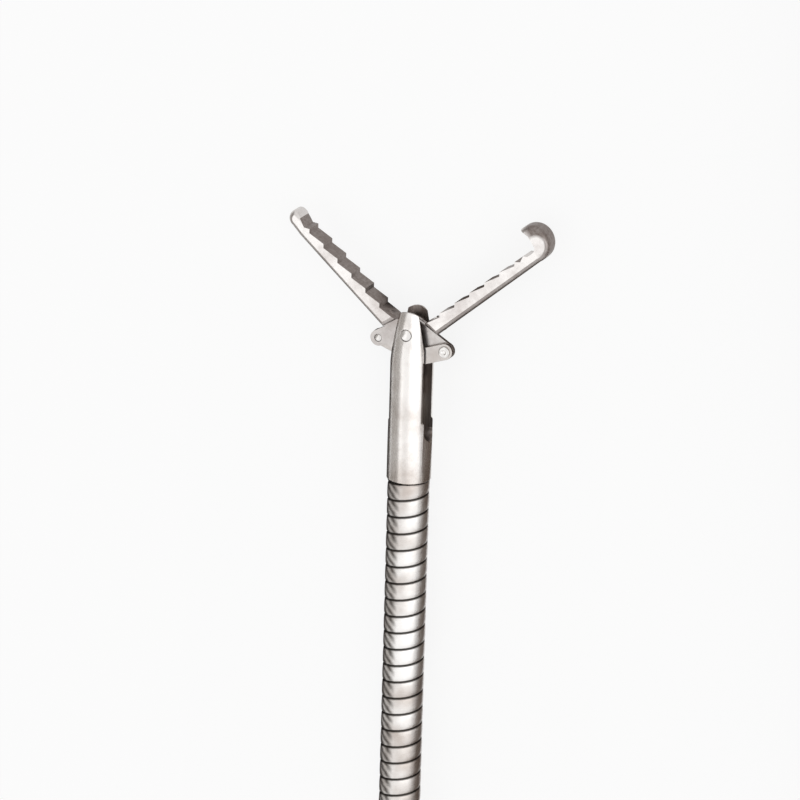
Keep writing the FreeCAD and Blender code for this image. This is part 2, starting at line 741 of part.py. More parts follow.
RING_AT = (
    f"((ring_pitch - {LEVER_X}) * cos({LEVER_HALF} * 1deg) - lever_y * sin({LEVER_HALF} * 1deg))",
    f"(-(ring_pitch - {LEVER_X}) * sin({LEVER_HALF} * 1deg) - lever_y * cos({LEVER_HALF} * 1deg))",
)


def make_lever():
    """The moving half: thumb ring, arm and the blade that works in the handle's slot."""
    lever = body("lever")
    low = "handle_axis - blade_thick / 2"
    blade = sketch(lever, "blade_outline", height=low)
    outline(blade, [
        ("0", "-hub_outer"),
        ("lever_arm", "-eye_outer"),
        ("lever_arm + 0.95 * eye_outer", "-0.3 * eye_outer"),
        ("lever_arm + 1.3 * eye_outer", "3 * eye_outer"),
        (f"{RING_AT[0]} * 0.3 + hub_outer", f"{RING_AT[1]} * 0.3"),
        (f"{RING_AT[0]} * 0.3 - 1.1 * eye_outer", f"{RING_AT[1]} * 0.3 + 0.6 * eye_outer"),
        ("-0.9 * hub_outer", "0.35 * hub_outer"),
        ("-hub_outer", "0"),
    ])
    feature(lever, "Pad", "blade", blade, Length="blade_thick")
    for name, across, radius in (("hub", "0", "hub_outer"), ("eye", "lever_arm", "eye_outer")):
        disc = sketch(lever, f"{name}_outline", height=low)
        circle(disc, across, "0", radius)
        feature(lever, "Pad", name, disc, Length="blade_thick")
    low = "(handle_thick - ring_thick) / 2"
    arm = sketch(lever, "arm_outline", height=low)
    outline(arm, [
        (f"{RING_AT[0]} * 0.24 - thumb_arm_half / 2", f"{RING_AT[1]} * 0.24 + thumb_arm_half / 4"),
        (f"{RING_AT[0]} * 0.24 + 1.4 * thumb_arm_half", f"{RING_AT[1]} * 0.24 - 0.7 * thumb_arm_half"),
        (f"{RING_AT[0]} - 1.1 * thumb_arm_half", f"{RING_AT[1]} - ring_outer + ring_lap"),
        (f"{RING_AT[0]} - 3.3 * thumb_arm_half", f"{RING_AT[1]} - ring_outer + 1.5 * thumb_arm_half"),
    ])
    feature(lever, "Pad", "arm", arm, Length="ring_thick")
    ring = sketch(lever, "ring_outline", height=low)
    circle(ring, RING_AT[0], RING_AT[1], "ring_outer")
    feature(lever, "Pad", "ring", ring, Length="ring_thick")
    doc.recompute()
    bore = sketch(lever, "ring_bore_outline", height="-handle_thick")
    circle(bore, RING_AT[0], RING_AT[1], "ring_bore")
    checked_cut(lever, "ring_bore", bore, "3 * handle_thick")
    hole = sketch(lever, "hole_outline", height="-handle_thick")
    circle(hole, "0", "0", "screw_radius + running_gap")
    checked_cut(lever, "screw_hole", hole, "3 * handle_thick")
    slot = sketch(lever, "slot_outline", height="-handle_thick")
    outline(slot, [
        ("lever_arm - pin_play", "rod_pin + running_gap", "rod_pin + running_gap"),
        ("lever_arm - pin_play", "-rod_pin - running_gap"),
        ("lever_arm + pin_play", "-rod_pin - running_gap", "rod_pin + running_gap"),
        ("lever_arm + pin_play", "rod_pin + running_gap"),
    ])
    checked_cut(lever, "pin_slot", slot, "3 * handle_thick")
    place(lever, LEVER_X, "lever_y", "0", f"-{LEVER_HALF}")


def make_drive():
    """The screw that the lever turns on, and the rod that it draws the cable with."""
    screw = body("lever_screw")
    turned_up(screw, [
        ("0", "side_gap"),
        ("screw_radius", "side_gap"),
        ("screw_radius", "handle_thick"),
        ("screw_head", "handle_thick"),
        ("screw_head", "handle_thick + 0.6 * screw_cap"),
        ("screw_head - 0.4 * screw_cap", "handle_thick + screw_cap"),
        ("0", "handle_thick + screw_cap"),
    ])
    doc.recompute()
    drive = sketch(screw, "drive_outline", height="handle_thick + screw_cap / 2")
    outline(drive, box("-2 * screw_head", "2 * screw_head", "-screw_slot", "screw_slot"))
    checked_cut(screw, "drive_slot", drive, "screw_cap")
    place(screw, LEVER_X, "lever_y", "0")
    rod = body("rod_fork")
    half = "(blade_thick / 2 + cheek_thick)"
    cheeks = sketch(rod, "cheeks_outline", height=f"-{half}")
    outline(cheeks, [
        ("-rod_fork_half", "-rod_fork_end"),
        ("rod_fork_half", "-rod_fork_end"),
        ("rod_fork_half", "0.3 * rod_fork_tip"),
        ("rod_fork_half / 2", "rod_fork_tip"),
        ("-rod_fork_half / 2", "rod_fork_tip"),
        ("-rod_fork_half", "0.3 * rod_fork_tip"),
    ])
    feature(rod, "Pad", "cheeks", cheeks, Length=f"2 * {half}")
    doc.recompute()
    gap = sketch(rod, "gap_outline", height="-blade_thick / 2 - running_gap")
    outline(gap, box("-2 * rod_fork_half", "2 * rod_fork_half", "-rod_fork_gap", "2 * rod_fork_tip"))
    checked_cut(rod, "gap", gap, "blade_thick + 2 * running_gap")
    hole = sketch(rod, "hole_outline", height="-handle_thick")
    circle(hole, "0", "0", "rod_pin + fit_gap")
    checked_cut(rod, "hole", hole, "2 * handle_thick")
    place(rod, "handle_x", ROD_PIN_Y, "handle_axis")
    cylinder("rod_pin", "rod_pin", f"handle_axis - {half} - rod_pin_proud", f"2 * ({half} + rod_pin_proud)",
             "handle_x", ROD_PIN_Y)
    shaft = body("pull_rod")
    turned(shaft, "shaft", [
        ("wire_radius + fit_gap", f"-{ROD_LENGTH}"),
        ("rod_radius", f"-{ROD_LENGTH}"),
        ("rod_radius", "-rod_fork_end"),
        ("0", "-rod_fork_end"),
        ("0", "-wire_lap"),
        ("wire_radius + fit_gap", "-wire_lap"),
    ])
    place(shaft, "handle_x", ROD_PIN_Y, "handle_axis")
    wire = body("pull_wire_end")
    turned(wire, "wire", [
        ("0", "-wire_end"), ("wire_radius", "-wire_end"), ("wire_radius", "-wire_lap"), ("0", "-wire_lap"),
    ])
    place(wire, "handle_x", ROD_PIN_Y, "handle_axis")


def turned_up(owner, corners):
    """A profile of (radius, height) corners turned about the vertical."""
    drawing = sketch(owner, "profile", "XZ_Plane")
    outline(drawing, corners)
    made = owner.newObject("PartDesign::Revolution", f"{owner.Name}_turned")
    made.Profile = drawing
    made.ReferenceAxis = (drawing, ["V_Axis"])
    made.Angle = 360.0


def make_connection():
    """The crimped ferrule, the nut that holds it in the neck, and the kink guard."""
    ferrule = body("sheath_ferrule")
    turned(ferrule, "sleeve", [
        ("wire_radius + side_gap", "neck_end + ferrule_lap"),
        ("wire_radius + side_gap", "neck_end - spigot_length"),
        ("sheath_outer + fit_gap", "neck_end - spigot_length"),
        ("sheath_outer + fit_gap", "neck_end - nut_length"),
        ("ferrule_outer", "neck_end - nut_length"),
        ("ferrule_outer", "neck_end + ferrule_lap"),
    ])
    place(ferrule, "handle_x", "0", "handle_axis")
    nut = body("clamp_nut")
    turned(nut, "nut", [
        ("spigot_outer + running_gap", "neck_end"),
        ("spigot_outer + running_gap", "neck_end - spigot_length"),
        ("ferrule_outer + running_gap", "neck_end - spigot_length"),
        ("ferrule_outer + running_gap", "neck_end - nut_length"),
        ("neck_outer - nut_bevel", "neck_end - nut_length"),
        ("neck_outer - running_gap", "neck_end - nut_length + nut_bevel"),
        ("neck_outer - running_gap", "neck_end"),
    ])
    place(nut, "handle_x", "0", "handle_axis")
    guard = body("kink_guard")
    turned(guard, "guard", [
        ("sheath_outer + running_gap", "neck_end - nut_length"),
        ("sheath_outer + running_gap", "neck_end - nut_length - guard_length"),
        ("guard_tip", "neck_end - nut_length - guard_length"),
        ("neck_outer - nut_bevel - running_gap", "neck_end - nut_length - guard_length / 8"),
        ("neck_outer - nut_bevel - running_gap", "neck_end - nut_length"),
    ])
    place(guard, "handle_x", "0", "handle_axis")


make_fork()
make_jaw("left")
make_jaw("right")
make_pivot_pin()
make_linkage()
make_sheath()
make_handle()
make_lever()
make_drive()
make_connection()
doc.recompute()

NODES = [
    "fork", "jaw_left", "jaw_right", "jaw_pivot_pin",
    "link_left", "link_right", "rivet_left", "rivet_right",
    "pull_block", "block_pin", "pull_wire_tip",
    "sheath_distal", "sheath_coil", "sheath_proximal", "coil_tie",
    "kink_guard", "sheath_ferrule", "clamp_nut",
    "handle_body", "lever", "lever_screw", "rod_fork", "rod_pin", "pull_rod", "pull_wire_end",
]

for thing in doc.Objects:
    if "Invalid" in thing.State or "Error" in thing.State:
        raise RuntimeError(f"{thing.Label}: {thing.State}")
os.makedirs("parts", exist_ok=True)
for label in NODES:
    thing = doc.getObjectsByLabel(label)[0]
    if thing.Shape.isNull() or not thing.Shape.isValid() or not thing.Shape.Solids:
        raise RuntimeError(f"{label}: the shape isn't a valid solid")
    print(label, len(thing.Shape.Solids), round(thing.Shape.Volume, 3))
    thing.Shape.exportStep(f"parts/{label}.step")
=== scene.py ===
import bpy
import bmesh
import json
import math
from mathutils import Matrix, Vector

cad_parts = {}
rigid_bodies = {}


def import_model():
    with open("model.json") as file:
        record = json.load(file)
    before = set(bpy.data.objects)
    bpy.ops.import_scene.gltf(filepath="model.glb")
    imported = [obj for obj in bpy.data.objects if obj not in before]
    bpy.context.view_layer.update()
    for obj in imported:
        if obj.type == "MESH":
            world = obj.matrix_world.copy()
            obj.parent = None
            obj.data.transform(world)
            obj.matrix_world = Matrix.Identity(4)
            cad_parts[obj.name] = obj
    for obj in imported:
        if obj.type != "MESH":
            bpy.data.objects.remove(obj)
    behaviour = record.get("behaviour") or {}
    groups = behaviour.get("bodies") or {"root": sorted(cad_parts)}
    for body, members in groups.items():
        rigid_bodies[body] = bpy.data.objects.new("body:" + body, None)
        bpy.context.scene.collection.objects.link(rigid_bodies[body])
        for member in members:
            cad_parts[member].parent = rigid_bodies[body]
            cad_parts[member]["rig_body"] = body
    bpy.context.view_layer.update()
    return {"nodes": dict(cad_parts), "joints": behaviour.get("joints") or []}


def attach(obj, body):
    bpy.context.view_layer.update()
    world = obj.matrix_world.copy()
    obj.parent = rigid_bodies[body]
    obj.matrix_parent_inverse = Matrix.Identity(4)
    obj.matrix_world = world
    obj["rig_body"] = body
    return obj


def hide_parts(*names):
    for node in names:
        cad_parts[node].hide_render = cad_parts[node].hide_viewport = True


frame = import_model()
nodes = frame["nodes"]
mm = 0.001  # sizes and places are written in millimetres, but for those of the stage
print("frame loaded,", len(nodes), "CAD pieces")

# the photograph's view of the head
cameraValues = {
    "azimuth": 23.5,      # degrees towards +X from straight above
    "elevation": 19.4,    # degrees towards the tips
    "roll": 1.6,
    "aim": (-28.0, -48.5, 1.22),
    "distance": 291.3,
    "slideRight": -0.61,
    "slideUp": -0.45,
    "lens": 241.56,
}


def placeCamera(values):
    azimuth = math.radians(values["azimuth"])
    elevation = math.radians(values["elevation"])
    roll = math.radians(values["roll"])
    back = Vector((math.sin(azimuth) * math.cos(elevation), math.sin(elevation),
                   math.cos(azimuth) * math.cos(elevation)))
    level = Vector((math.cos(azimuth), 0, -math.sin(azimuth)))
    upright = back.cross(level)
    right = level * math.cos(roll) + upright * math.sin(roll)
    up = upright * math.cos(roll) - level * math.sin(roll)
    eye = Vector(values["aim"]) + back * values["distance"]
    eye = (eye + right * values["slideRight"] + up * values["slideUp"]) * mm
    data = bpy.data.cameras.new("studioCamera")
    data.lens = values["lens"]
    data.sensor_width = 36
    data.clip_start = 0.01
    camera = bpy.data.objects.new("studioCamera", data)
    bpy.context.scene.collection.objects.link(camera)
    camera.matrix_world = Matrix((
        (right.x, up.x, back.x, eye.x),
        (right.y, up.y, back.y, eye.y),
        (right.z, up.z, back.z, eye.z),
        (0, 0, 0, 1),
    ))
    bpy.context.scene.camera = camera


placeCamera(cameraValues)
print("camera placed")


def startFinish(name):
    # a node material with its shader, ready for more nodes
    finish = bpy.data.materials.new(name)
    finish.use_nodes = True
    tree = finish.node_tree
    shader = tree.nodes["Principled BSDF"]
    return finish, tree, shader


def fillSocket(tree, socket, value):
    # a number is written in, and another node's output is joined
    if isinstance(value, bpy.types.NodeSocket):
        tree.links.new(value, socket)
    else:
        socket.default_value = value


def addNode(tree, kind, settings=None, **inputs):
    node = tree.nodes.new(kind)
    for key, value in (settings or {}).items():
        setattr(node, key, value)
    for key, value in inputs.items():
        fillSocket(tree, node.inputs[key.replace("_", " ")], value)
    return node


def maths(tree, operation, *values):
    # the inputs of a Math node share one name, so they are filled in turn
    node = addNode(tree, "ShaderNodeMath", {"operation": operation})
    for socket, value in zip(node.inputs, values):
        fillSocket(tree, socket, value)
    return node.outputs[0]


def vectorMaths(tree, operation, *values):
    node = addNode(tree, "ShaderNodeVectorMath", {"operation": operation})
    for socket, value in zip(node.inputs, values):
        fillSocket(tree, socket, value)
    return node.outputs["Value" if operation in ("LENGTH", "DOT_PRODUCT") else "Vector"]


def cloudy(tree, place, scale, detail, roughness=0.5):
    # soft noise over a place
    node = addNode(tree, "ShaderNodeTexNoise", Vector=place, Scale=scale, Detail=detail, Roughness=roughness)
    return node.outputs["Fac"]


def ranged(tree, value, low, high, bottom=0.0, top=1.0):
    # a value held between low and high, and spread from bottom to top
    node = addNode(tree, "ShaderNodeMapRange", Value=value, From_Min=low, From_Max=high,
                   To_Min=bottom, To_Max=top)
    return node.outputs["Result"]


def blended(tree, share, first, second):
    # two colours mixed by a share
    node = addNode(tree, "ShaderNodeMix", {"data_type": "RGBA"}, Factor=share, A=first, B=second)
    return node.outputs["Result"]


def tinted(tree, value, low, dark, high, light):
    # a ramp from a dark colour to a light one
    node = addNode(tree, "ShaderNodeValToRGB", Fac=value)
    for stop, place, colour in zip(node.color_ramp.elements, (low, high), (dark, light)):
        stop.position = place
        stop.color = (*colour, 1)
    return node.outputs["Color"]


def metres(place):
    return tuple(value * mm for value in place)


joints = {joint["name"]: joint for joint in frame["joints"]}
jawPivot = Vector(joints["jaw_left_pivot"]["pos_m"]) / mm  # both jaws turn here, in mm

# "cut" is the colour of faces matt from cutting and painted darker as shade and dark reflection,
# "rough" the range of the polish, "grain" how fine the brushing is along X, Y and Z,
# and "cloud" how small the warm clouds are
steelValues = {
    "headSteel": {"dark": (0.60, 0.54, 0.50), "light": (0.90, 0.87, 0.845), "cut": (0.20, 0.16, 0.14),
                  "rough": (0.20, 0.34), "cutRough": 0.42, "grain": (700, 60, 700), "bump": 0.05},
    "jawSteel": {"dark": (0.52, 0.47, 0.45), "light": (0.86, 0.83, 0.81), "cut": (0.17, 0.135, 0.12),
                 "rough": (0.16, 0.30), "cutRough": 0.45, "grain": (600, 600, 600), "bump": 0.06},
    "pinSteel": {"dark": (0.55, 0.51, 0.49), "light": (0.82, 0.80, 0.78), "cut": (0.35, 0.32, 0.30),
                 "rough": (0.13, 0.22), "cutRough": 0.3, "grain": (900, 900, 900), "bump": 0.04},
    "handleSteel": {"dark": (0.50, 0.49, 0.48), "light": (0.60, 0.59, 0.58), "cut": (0.45, 0.44, 0.43),
                    "rough": (0.24, 0.40), "cutRough": 0.4, "grain": (500, 40, 500), "bump": 0.12,
                    "cloud": 60.0},
    "cableSteel": {"dark": (0.25, 0.23, 0.21), "light": (0.62, 0.60, 0.58), "cut": (0.2, 0.18, 0.17),
                   "rough": (0.25, 0.4), "cutRough": 0.45, "grain": (400, 1800, 400), "bump": 0.3},
}
# the right jaw's hook gets painted shade, a darker ring round the middle of the hook, beyond the arm (mm)
steelValues["hookSteelWithPaintedShade"] = dict(
    steelValues["jawSteel"],
    cutRough=0.42,
    crown={"middle": (-20.75, -38.92, 1.22), "radius": (0.44, 0.64), "shade": 1.0,
           "along": (0.766, 0.643, 0.0), "from": (9.1, 9.6)},
)


def crownLevel(tree, place, cut, values):
    # painted shade: darker towards the outside of the hook
    spoke = vectorMaths(tree, "SUBTRACT", place, metres(values["middle"]))
    flat = vectorMaths(tree, "MULTIPLY", spoke, (1, 1, 0))
    inner, outer = values["radius"]
    ring = ranged(tree, vectorMaths(tree, "LENGTH", flat), inner * mm, outer * mm)
    along = values["along"]
    pivot = jawPivot.dot(Vector(along))
    run = vectorMaths(tree, "DOT_PRODUCT", place, along)
    first, last = values["from"]
    beyond = ranged(tree, run, (pivot + first) * mm, (pivot + last) * mm)
    shade = maths(tree, "MULTIPLY", maths(tree, "MULTIPLY", ring, beyond), values["shade"])
    return maths(tree, "MAXIMUM", shade, cut)


def steelFinish(name, values):
    # polished steel with a warm cloud in it, and matt cut faces painted darker as shade and dark reflection
    finish, tree, shader = startFinish(name)
    place = addNode(tree, "ShaderNodeTexCoord").outputs["Object"]
    cloud = cloudy(tree, place, values.get("cloud", 420.0), 5.0, 0.6)
    tint = tinted(tree, cloud, 0.28, values["dark"], 0.56, values["light"])
    stretch = addNode(tree, "ShaderNodeMapping", Vector=place, Scale=values["grain"])
    grain = cloudy(tree, stretch.outputs[0], 9.0, 6.0, 0.65)
    level = addNode(tree, "ShaderNodeAttribute", {"attribute_name": "cut"}).outputs["Fac"]
    if "crown" in values:
        level = crownLevel(tree, place, level, values["crown"])
    # painted shade: the cut level darkens faces towards the cut colour as shade and dark reflection, broken
    # up by the grain
    edge = ranged(tree, level, 0.0, 1.0)
    grainShare = ranged(tree, grain, 0.3, 0.7, 0.8, 1.0)
    colour = blended(tree, maths(tree, "MULTIPLY", edge, grainShare), tint, (*values["cut"], 1))
    rough = ranged(tree, grain, 0.3, 0.7, *values["rough"])
    dull = addNode(tree, "ShaderNodeMix", {"data_type": "FLOAT"}, Factor=edge, A=rough, B=values["cutRough"])
    bump = addNode(tree, "ShaderNodeBump", Height=grain, Strength=values["bump"], Distance=0.00002)
    tree.links.new(colour, shader.inputs["Base Color"])
    tree.links.new(dull.outputs["Result"], shader.inputs["Roughness"])
    tree.links.new(bump.outputs["Normal"], shader.inputs["Normal"])
    shader.inputs["Metallic"].default_value = 1.0
    return finish


sheathValues = {
    "outer": 1.165,       # radius over the turns
    "pitch": 0.97,        # width of the flat wire
    "start": (-28.0, -53.5, 1.22),
    "coilMiddle": 11.7,
    "coilGap": 3.665,     # the incoming run lies this far outside the coil's middle
    "coilY": -97.5,
    "coilSteps": 16,      # route points in a turn
    "coilTurns": 4.25,
    "coilHeights": (1.22, 1.615, 3.945),  # as it comes in, in the lower layer, and in the upper one
    "routeDetail": 16,    # points of the smooth line to each route point
    "pathStep": 0.5,
    "spare": 1.5,         # turns of wire past either end of the line
    "segments": 24,       # round the wire's turn
    # where across the wire each edge of its face lies, and how far it stands from the axis
    "across": (-0.5, -0.455, -0.40, -0.2, 0.0, 0.2, 0.40, 0.455),
    "radius": (1.05, 1.12, 1.15, 1.163, 1.165, 1.163, 1.15, 1.12),
    "seam": (1.0, 0.9, 0.0, 0.0, 0.0, 0.0, 0.0, 0.9),
    "dark": (0.56, 0.50, 0.46),
    "light": (0.93, 0.91, 0.89),
    "rough": (0.24, 0.42),
    "seamShadeColour": (0.03, 0.024, 0.02),
    # painted reflection: dark streaks between brighter bands on one side of each turn
    "reflectionStreakColour": (0.13, 0.115, 0.105),
    "reflectionStreaksAt": 0.088,     # part of a turn where the painted reflection streaks lie
    "reflectionStreaksNear": (0.84, 0.97),  # cosine of the angle from there, where they start and where they are full
    "reflectionStreakScale": (3.8, 4.6, 1.0),
    "reflectionStreakLean": -0.12,
    "reflectionStreakShade": 0.9,
}


def paintedReflectionStreaks(tree, uv, tint, values):
    # painted reflection: dark slanted streaks across the wire, on one side of each turn
    turns = addNode(tree, "ShaderNodeSeparateXYZ", Vector=uv).outputs["X"]
    angle = maths(tree, "MULTIPLY_ADD", turns, 2 * math.pi, -2 * math.pi * values["reflectionStreaksAt"])
    near = ranged(tree, maths(tree, "COSINE", angle), *values["reflectionStreaksNear"])
    slant = addNode(tree, "ShaderNodeMapping", Vector=uv, Scale=values["reflectionStreakScale"],
                    Rotation=(0.0, 0.0, values["reflectionStreakLean"]))
    wave = addNode(tree, "ShaderNodeTexWave", Vector=slant.outputs[0], Scale=1.0, Distortion=1.5, Detail=2.0)
    bright = ranged(tree, wave.outputs["Fac"], 0.0, 1.0, values["reflectionStreakShade"], 0.0)
    return blended(tree, maths(tree, "MULTIPLY", near, bright), tint, (*values["reflectionStreakColour"], 1))


def sheathFinish(name, values):
    # the seams between turns are painted near black as shade, the crowns are polished
    finish, tree, shader = startFinish(name)
    seam = addNode(tree, "ShaderNodeAttribute", {"attribute_name": "seam"}).outputs["Fac"]
    place = addNode(tree, "ShaderNodeTexCoord")
    cloud = cloudy(tree, place.outputs["Object"], 420.0, 4.0)
    tint = tinted(tree, cloud, 0.3, values["dark"], 0.6, values["light"])
    streakedTint = paintedReflectionStreaks(tree, place.outputs["UV"], tint, values)
    # painted shade: the seams are blended to near black
    colour = blended(tree, seam, streakedTint, (*values["seamShadeColour"], 1))
    streak = addNode(tree, "ShaderNodeMapping", Vector=place.outputs["UV"], Scale=(3.0, 40.0, 1.0))
    line = cloudy(tree, streak.outputs[0], 3.0, 4.0)
    bump = addNode(tree, "ShaderNodeBump", Height=line, Strength=0.3, Distance=0.00002)
    tree.links.new(colour, shader.inputs["Base Color"])
    tree.links.new(ranged(tree, line, 0.3, 0.7, *values["rough"]), shader.inputs["Roughness"])
    tree.links.new(bump.outputs["Normal"], shader.inputs["Normal"])
    shader.inputs["Metallic"].default_value = 1.0
    return finish


# name: the dark and the light of the silicone
siliconeValues = {
    "tieSilicone": ((0.42, 0.44, 0.46), (0.55, 0.57, 0.59)),
    "guardSilicone": ((0.02, 0.022, 0.025), (0.05, 0.052, 0.056)),
}


def siliconeFinish(name, dark, light):
    finish, tree, shader = startFinish(name)
    place = addNode(tree, "ShaderNodeTexCoord").outputs["Object"]
    tint = tinted(tree, cloudy(tree, place, 900.0, 6.0), 0.35, dark, 0.7, light)
    fine = cloudy(tree, place, 5200.0, 3.0)
    bump = addNode(tree, "ShaderNodeBump", Height=fine, Strength=0.25, Distance=0.00003)
    tree.links.new(tint, shader.inputs["Base Color"])
    tree.links.new(bump.outputs["Normal"], shader.inputs["Normal"])
    shader.inputs["Roughness"].default_value = 0.55
    shader.inputs["Subsurface Weight"].default_value = 0.1
    shader.inputs["Subsurface Scale"].default_value = 0.001
    return finish


finishes = {name: steelFinish(name, values) for name, values in steelValues.items()}
finishes["sheathWire"] = sheathFinish("sheathWire", sheathValues)
for name, (dark, light) in siliconeValues.items():
    finishes[name] = siliconeFinish(name, dark, light)
print("finishes made:", ", ".join(finishes))


def sheathRoute(values):
    # down from the fork, four and a quarter turns, and up into the handle
    middle = values["coilMiddle"]
    far, out, near = values["coilGap"], values["outer"], -values["outer"]
    centreX = values["start"][0] + middle + values["coilGap"]
    centreY = values["coilY"]
    points = [values["start"], (-28.0, -72.0, 1.22), (-28.0, -88.0, 1.22)]
    first, lower, upper = values["coilHeights"]
    # (turns done, lane from the coil's middle, height) where a turn settles in its lane
    lanes = ((0.0, far, first), (0.40, far, first), (0.50, out, lower), (1.37, out, lower),
             (1.47, near, lower), (2.33, near, lower), (2.43, near, upper), (3.28, near, upper),
             (3.38, out, upper), (4.3, out, upper))
    steps = values["coilSteps"]
    for step in range(int(values["coilTurns"] * steps)):
        done = (step + 0.5) / steps
        number = next(i for i in range(1, len(lanes)) if done <= lanes[i][0])
        before, after = lanes[number - 1], lanes[number]
        share = (done - before[0]) / (after[0] - before[0])
        lane = before[1] + (after[1] - before[1]) * share
        height = before[2] + (after[2] - before[2]) * share
        angle = math.pi + 2 * math.pi * done
        radius = (middle + lane) / math.cos(math.pi / steps)
        points.append((centreX + radius * math.cos(angle), centreY + radius * math.sin(angle), height))
    south = centreY - middle - out
    points += [(-9.5, south, 3.95), (-3.0, south, 3.9), (5.0, south, 2.6), (11.5, -109.0, 2.2),
               (14.5, -102.5, 2.3), (14.5, -95.0, 2.5), (14.5, -86.0, 2.5)]
    return points


def linePoints(points, detail):
    # the smooth line of the route, read from a NURBS spline
    curve = bpy.data.curves.new("sheathRoute", "CURVE")
    curve.dimensions = "3D"
    spline = curve.splines.new("NURBS")
    spline.points.add(len(points) - 1)
    for place, point in zip(spline.points, points):
        place.co = (*metres(point), 1)
    spline.order_u = 3
    spline.use_endpoint_u = True
    spline.resolution_u = detail
    route = bpy.data.objects.new("sheathRoute", curve)
    bpy.context.scene.collection.objects.link(route)
    bpy.context.view_layer.update()
    graph = bpy.context.evaluated_depsgraph_get()
    mesh = bpy.data.meshes.new_from_object(route.evaluated_get(graph))
    line = [vertex.co.copy() for vertex in mesh.vertices]
    bpy.data.meshes.remove(mesh)
    bpy.data.objects.remove(route)
    return [point for number, point in enumerate(line)
            if number == 0 or (point - line[number - 1]).length > 1e-7]


class RouteWalk:
    # places and directions at a distance along a line
    def __init__(self, line):
        self.line = line
        self.marks = [0.0]
        for before, after in zip(line, line[1:]):
            self.marks.append(self.marks[-1] + (after - before).length)
        self.length = self.marks[-1]
        self.ways = []
        for number in range(len(line)):
            way = line[min(number + 1, len(line) - 1)] - line[max(number - 1, 0)]
            self.ways.append(way.normalized())
        self.last = 0

    def at(self, distance):
        distance = min(max(distance, 0.0), self.length)
        number = self.last
        while number > 0 and self.marks[number] > distance:
            number -= 1
        while number < len(self.marks) - 2 and self.marks[number + 1] < distance:
            number += 1
        self.last = number
        share = (distance - self.marks[number]) / (self.marks[number + 1] - self.marks[number])
        place = self.line[number].lerp(self.line[number + 1], share)
        way = self.ways[number].lerp(self.ways[number + 1], share).normalized()
        up = (Vector((0, 0, 1)) - way * way.z).normalized()
        return place, up, way.cross(up)


def woundWire(name, walk, values):
    # a flat wire wound close round the line, one skin from seam to seam
    pitch = values["pitch"] * mm
    segments = values["segments"]
    kinds = len(values["across"])
    # some wire more at either end, ground flat where the line stops
    turns = int(walk.length / pitch + 2 * values["spare"]) + 1
    rows = turns * segments
    spots, seams = [], []
    for row in range(rows + 1):
        angle = 2 * math.pi * row / segments
        along = pitch * (row / segments - values["spare"])
        for across, radius, seam in zip(values["across"], values["radius"], values["seam"]):
            place, up, side = walk.at(along + across * pitch)
            spots.append(place + (up * math.cos(angle) + side * math.sin(angle)) * radius * mm)
            seams.append(seam)
    faces, uvs = [], []
    for row in range(rows):
        for kind in range(kinds):
            here, there = row * kinds + kind, (row + 1) * kinds + kind
            if kind + 1 < kinds:
                hereNext, thereNext = here + 1, there + 1
            elif row + 1 + segments <= rows:
                hereNext, thereNext = (row + segments) * kinds, (row + 1 + segments) * kinds
            else:
                continue
            faces.append((here, there, thereNext, hereNext))
            uvs.append((row, kind))
    # closed at both ends round the first and the last turn
    first = list(range(1, kinds)) + [row * kinds for row in range(segments, -1, -1)]
    last = [row * kinds + kinds - 1 for row in range(rows - segments, rows + 1)]
    last += [rows * kinds + kind for kind in range(kinds - 2, -1, -1)]
    for rim, end in ((first, 0.0), (last, walk.length)):
        spots.append(walk.at(end)[0])
        # the end caps take the near-black painted seam shade too
        seams.append(1.0)
        for here, there in zip(rim, rim[1:] + rim[:1]):
            faces.append((len(spots) - 1, here, there))
            uvs.append(None)
    mesh = bpy.data.meshes.new(name)
    mesh.from_pydata([tuple(spot) for spot in spots], [], faces)
    mark = mesh.attributes.new("seam", "FLOAT", "POINT")
    mark.data.foreach_set("value", seams)
    layer = mesh.uv_layers.new(name="wire")
    spread = values["across"] + (0.5,)
    for polygon, spot in zip(mesh.polygons, uvs):
        if spot is None:
            continue
        row, kind = spot
        corners = ((row, kind), (row + 1, kind), (row + 1, kind + 1), (row, kind + 1))
        for loop, (down, cross) in zip(polygon.loop_indices, corners):
            layer.data[loop].uv = (down / segments, spread[cross] + 0.5)
    mesh.polygons.foreach_set("use_smooth", [True] * len(mesh.polygons))
    mesh.validate()
    wire = bpy.data.objects.new(name, mesh)
    bpy.context.scene.collection.objects.link(wire)
    return wire


walk = RouteWalk(linePoints(sheathRoute(sheathValues), sheathValues["routeDetail"]))
sheath = woundWire("sheathWire", walk, sheathValues)
sheath.data.materials.append(finishes["sheathWire"])
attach(sheath, "frame")
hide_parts("sheath_distal", "sheath_coil", "sheath_proximal")
pathStep = sheathValues["pathStep"] * mm
sheathPath = [walk.at(number * pathStep)[0] for number in range(int(walk.length / pathStep) + 1)]
metres(sheathValues["start"])
print("sheath wound,", round(walk.length / mm, 1), "mm long,", len(sheath.data.polygons), "faces")


def markCutAndShade(mesh, levelOf):
    # how matt each face is and how much painted shade it gets, kept on its corners
    mark = mesh.attributes.new("cut", "FLOAT", "CORNER")
    levels = []
    for polygon in mesh.polygons:
        levels += [levelOf(polygon)] * polygon.loop_total
    mark.data.foreach_set("value", levels)


jawValues = {
    "open": 50.0,         # degrees that each jaw stands open
    "toothed": (1.0, 8.45),  # the cut faces lie between these distances from the pivot
    "tailEnd": 0.9,       # nearer to the pivot than this, the flat sides are the tail's
    "flatSide": 0.985,    # a normal this upright is a flat side's
    "bite": 0.3,          # a normal that points inwards this much is a bite's
    "tipBite": 0.05,      # and so on the left jaw's blunt tip
    # painted shade and dark reflection: darkest on the toothed faces, lighter on the tail's sides in the
    # fork and on the backs, the right jaw's back darker than the left's
    "toothCutAndShade": 1.0,
    "tipCut": 0.32,
    "tailShade": 0.4,
    "backShade": {-1: 0.5, 1: 0.75},
}


